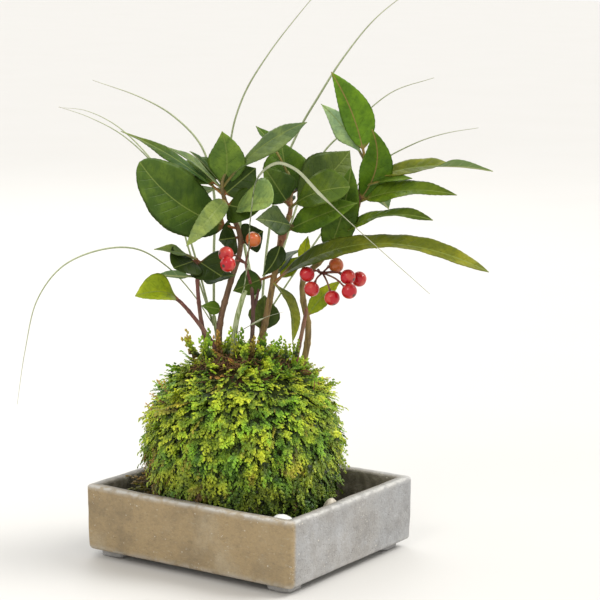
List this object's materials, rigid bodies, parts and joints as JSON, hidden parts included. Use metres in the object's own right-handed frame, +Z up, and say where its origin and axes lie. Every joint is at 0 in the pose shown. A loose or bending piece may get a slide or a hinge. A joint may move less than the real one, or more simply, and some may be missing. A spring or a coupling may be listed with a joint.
{
  "type": "kokedama moss ball plant",
  "caption": "Kokedama: a red-berried evergreen shrublet and thin sedge rooted in a moss-covered soil ball, standing in a low rectangular stoneware tray with small corner feet.",
  "frame": {"origin": "on the surface the tray stands on, under the middle of the tray", "axes": "+Z up; X along the tray's longer side, Y along its shorter side; the plant's front looks between -Y and +X"},
  "size_m": [0.1851, 0.1425, 0.2333],
  "materials": {
    "stoneware": "matte",
    "pebble": "matte",
    "soil": "matte",
    "moss": "matte",
    "thread": "matte",
    "bark": "matte",
    "leaf": "satin",
    "berry": "gloss",
    "sedge": "satin"
  },
  "bodies": {
    "root": {"tray": "stoneware", "pebble_1": "pebble", "pebble_2": "pebble", "pebble_3": "pebble", "pebble_4": "pebble", "pebble_5": "pebble", "pebble_6": "pebble", "pebble_7": "pebble", "soil_ball": "soil", "moss_coat": "moss", "binding_thread": "thread", "stem_left": "bark", "stem_centre": "bark", "stem_right": "bark", "stem_lime": "bark", "stem_pair": "bark", "stem_fork": "bark", "stem_short": "bark", "leaves_left": "leaf", "leaves_centre": "leaf", "leaves_right": "leaf", "berries_right": "berry", "berries_left": "berry", "sedge_left": "sedge", "sedge_back": "sedge", "sedge_front": "sedge"}
  },
  "joints": []
}
